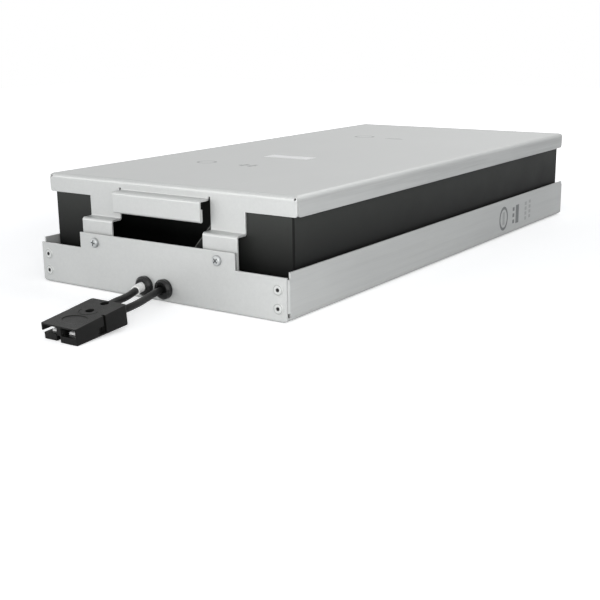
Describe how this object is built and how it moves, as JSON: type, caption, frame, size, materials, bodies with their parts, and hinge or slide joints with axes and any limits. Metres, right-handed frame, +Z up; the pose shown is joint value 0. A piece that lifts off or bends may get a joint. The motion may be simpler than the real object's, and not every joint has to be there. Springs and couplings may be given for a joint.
{
  "type": "ups battery cartridge",
  "caption": "Flat sealed battery tray for a rack power supply: folded steel tray and cover, black liner, hand-hold lip and a two-pole plug on short leads.",
  "frame": {"origin": "centre of the tray's base, on the surface it stands on", "axes": "+Y along the cartridge towards its rear, +Z up through the cover; the hand-hold and the leads face -Y"},
  "size_m": [0.2164, 0.5586, 0.0772],
  "materials": {
    "galvanised_steel": "satin galvanised sheet",
    "black_sheet": "semi-matt black sheet",
    "foam": "matt closed-cell foam",
    "battery_case": "matt moulded case",
    "tinned_brass": "tinned",
    "lead_jacket": "satin black jacket",
    "white_sleeve": "matt white shrink sleeve",
    "grommet_rubber": "glossy black rubber",
    "connector_black": "matt moulded, fine grain",
    "silvered_contact": "silver plated",
    "rivet_aluminium": "satin",
    "zinc_steel": "bright zinc plate"
  },
  "bodies": {
    "root": {"tray": "galvanised_steel", "cover": "galvanised_steel", "insulating_liner": "black_sheet", "terminal_barrier": "black_sheet", "foam_pad_bottom": "foam", "foam_pad_top": "foam", "foam_pad_rear": "foam", "battery_case_1": "battery_case", "battery_lid_1": "battery_case", "battery_tabs_1": "tinned_brass", "battery_case_2": "battery_case", "battery_lid_2": "battery_case", "battery_tabs_2": "tinned_brass", "battery_case_3": "battery_case", "battery_lid_3": "battery_case", "battery_tabs_3": "tinned_brass", "battery_case_4": "battery_case", "battery_lid_4": "battery_case", "battery_tabs_4": "tinned_brass", "battery_case_5": "battery_case", "battery_lid_5": "battery_case", "battery_tabs_5": "tinned_brass", "battery_case_6": "battery_case", "battery_lid_6": "battery_case", "battery_tabs_6": "tinned_brass", "battery_case_7": "battery_case", "battery_lid_7": "battery_case", "battery_tabs_7": "tinned_brass", "battery_case_8": "battery_case", "battery_lid_8": "battery_case", "battery_tabs_8": "tinned_brass", "series_link_left_1": "lead_jacket", "series_link_left_2": "lead_jacket", "series_link_left_3": "lead_jacket", "series_link_right_1": "lead_jacket", "series_link_right_2": "lead_jacket", "series_link_right_3": "lead_jacket", "series_link_rear": "lead_jacket", "receptacles": "tinned_brass", "inner_lead_positive": "lead_jacket", "inner_lead_negative": "lead_jacket", "lead_positive": "lead_jacket", "lead_negative": "lead_jacket", "polarity_sleeve": "white_sleeve", "grommet_left": "grommet_rubber", "grommet_right": "grommet_rubber", "connector_housing": "connector_black", "connector_contact_left": "silvered_contact", "connector_contact_right": "silvered_contact", "rivets_front": "rivet_aluminium", "cover_screws_front": "zinc_steel", "clinch_nuts_front": "zinc_steel", "rivets_rear": "rivet_aluminium", "cover_screws_rear": "zinc_steel", "clinch_nuts_rear": "zinc_steel"}
  },
  "joints": []
}
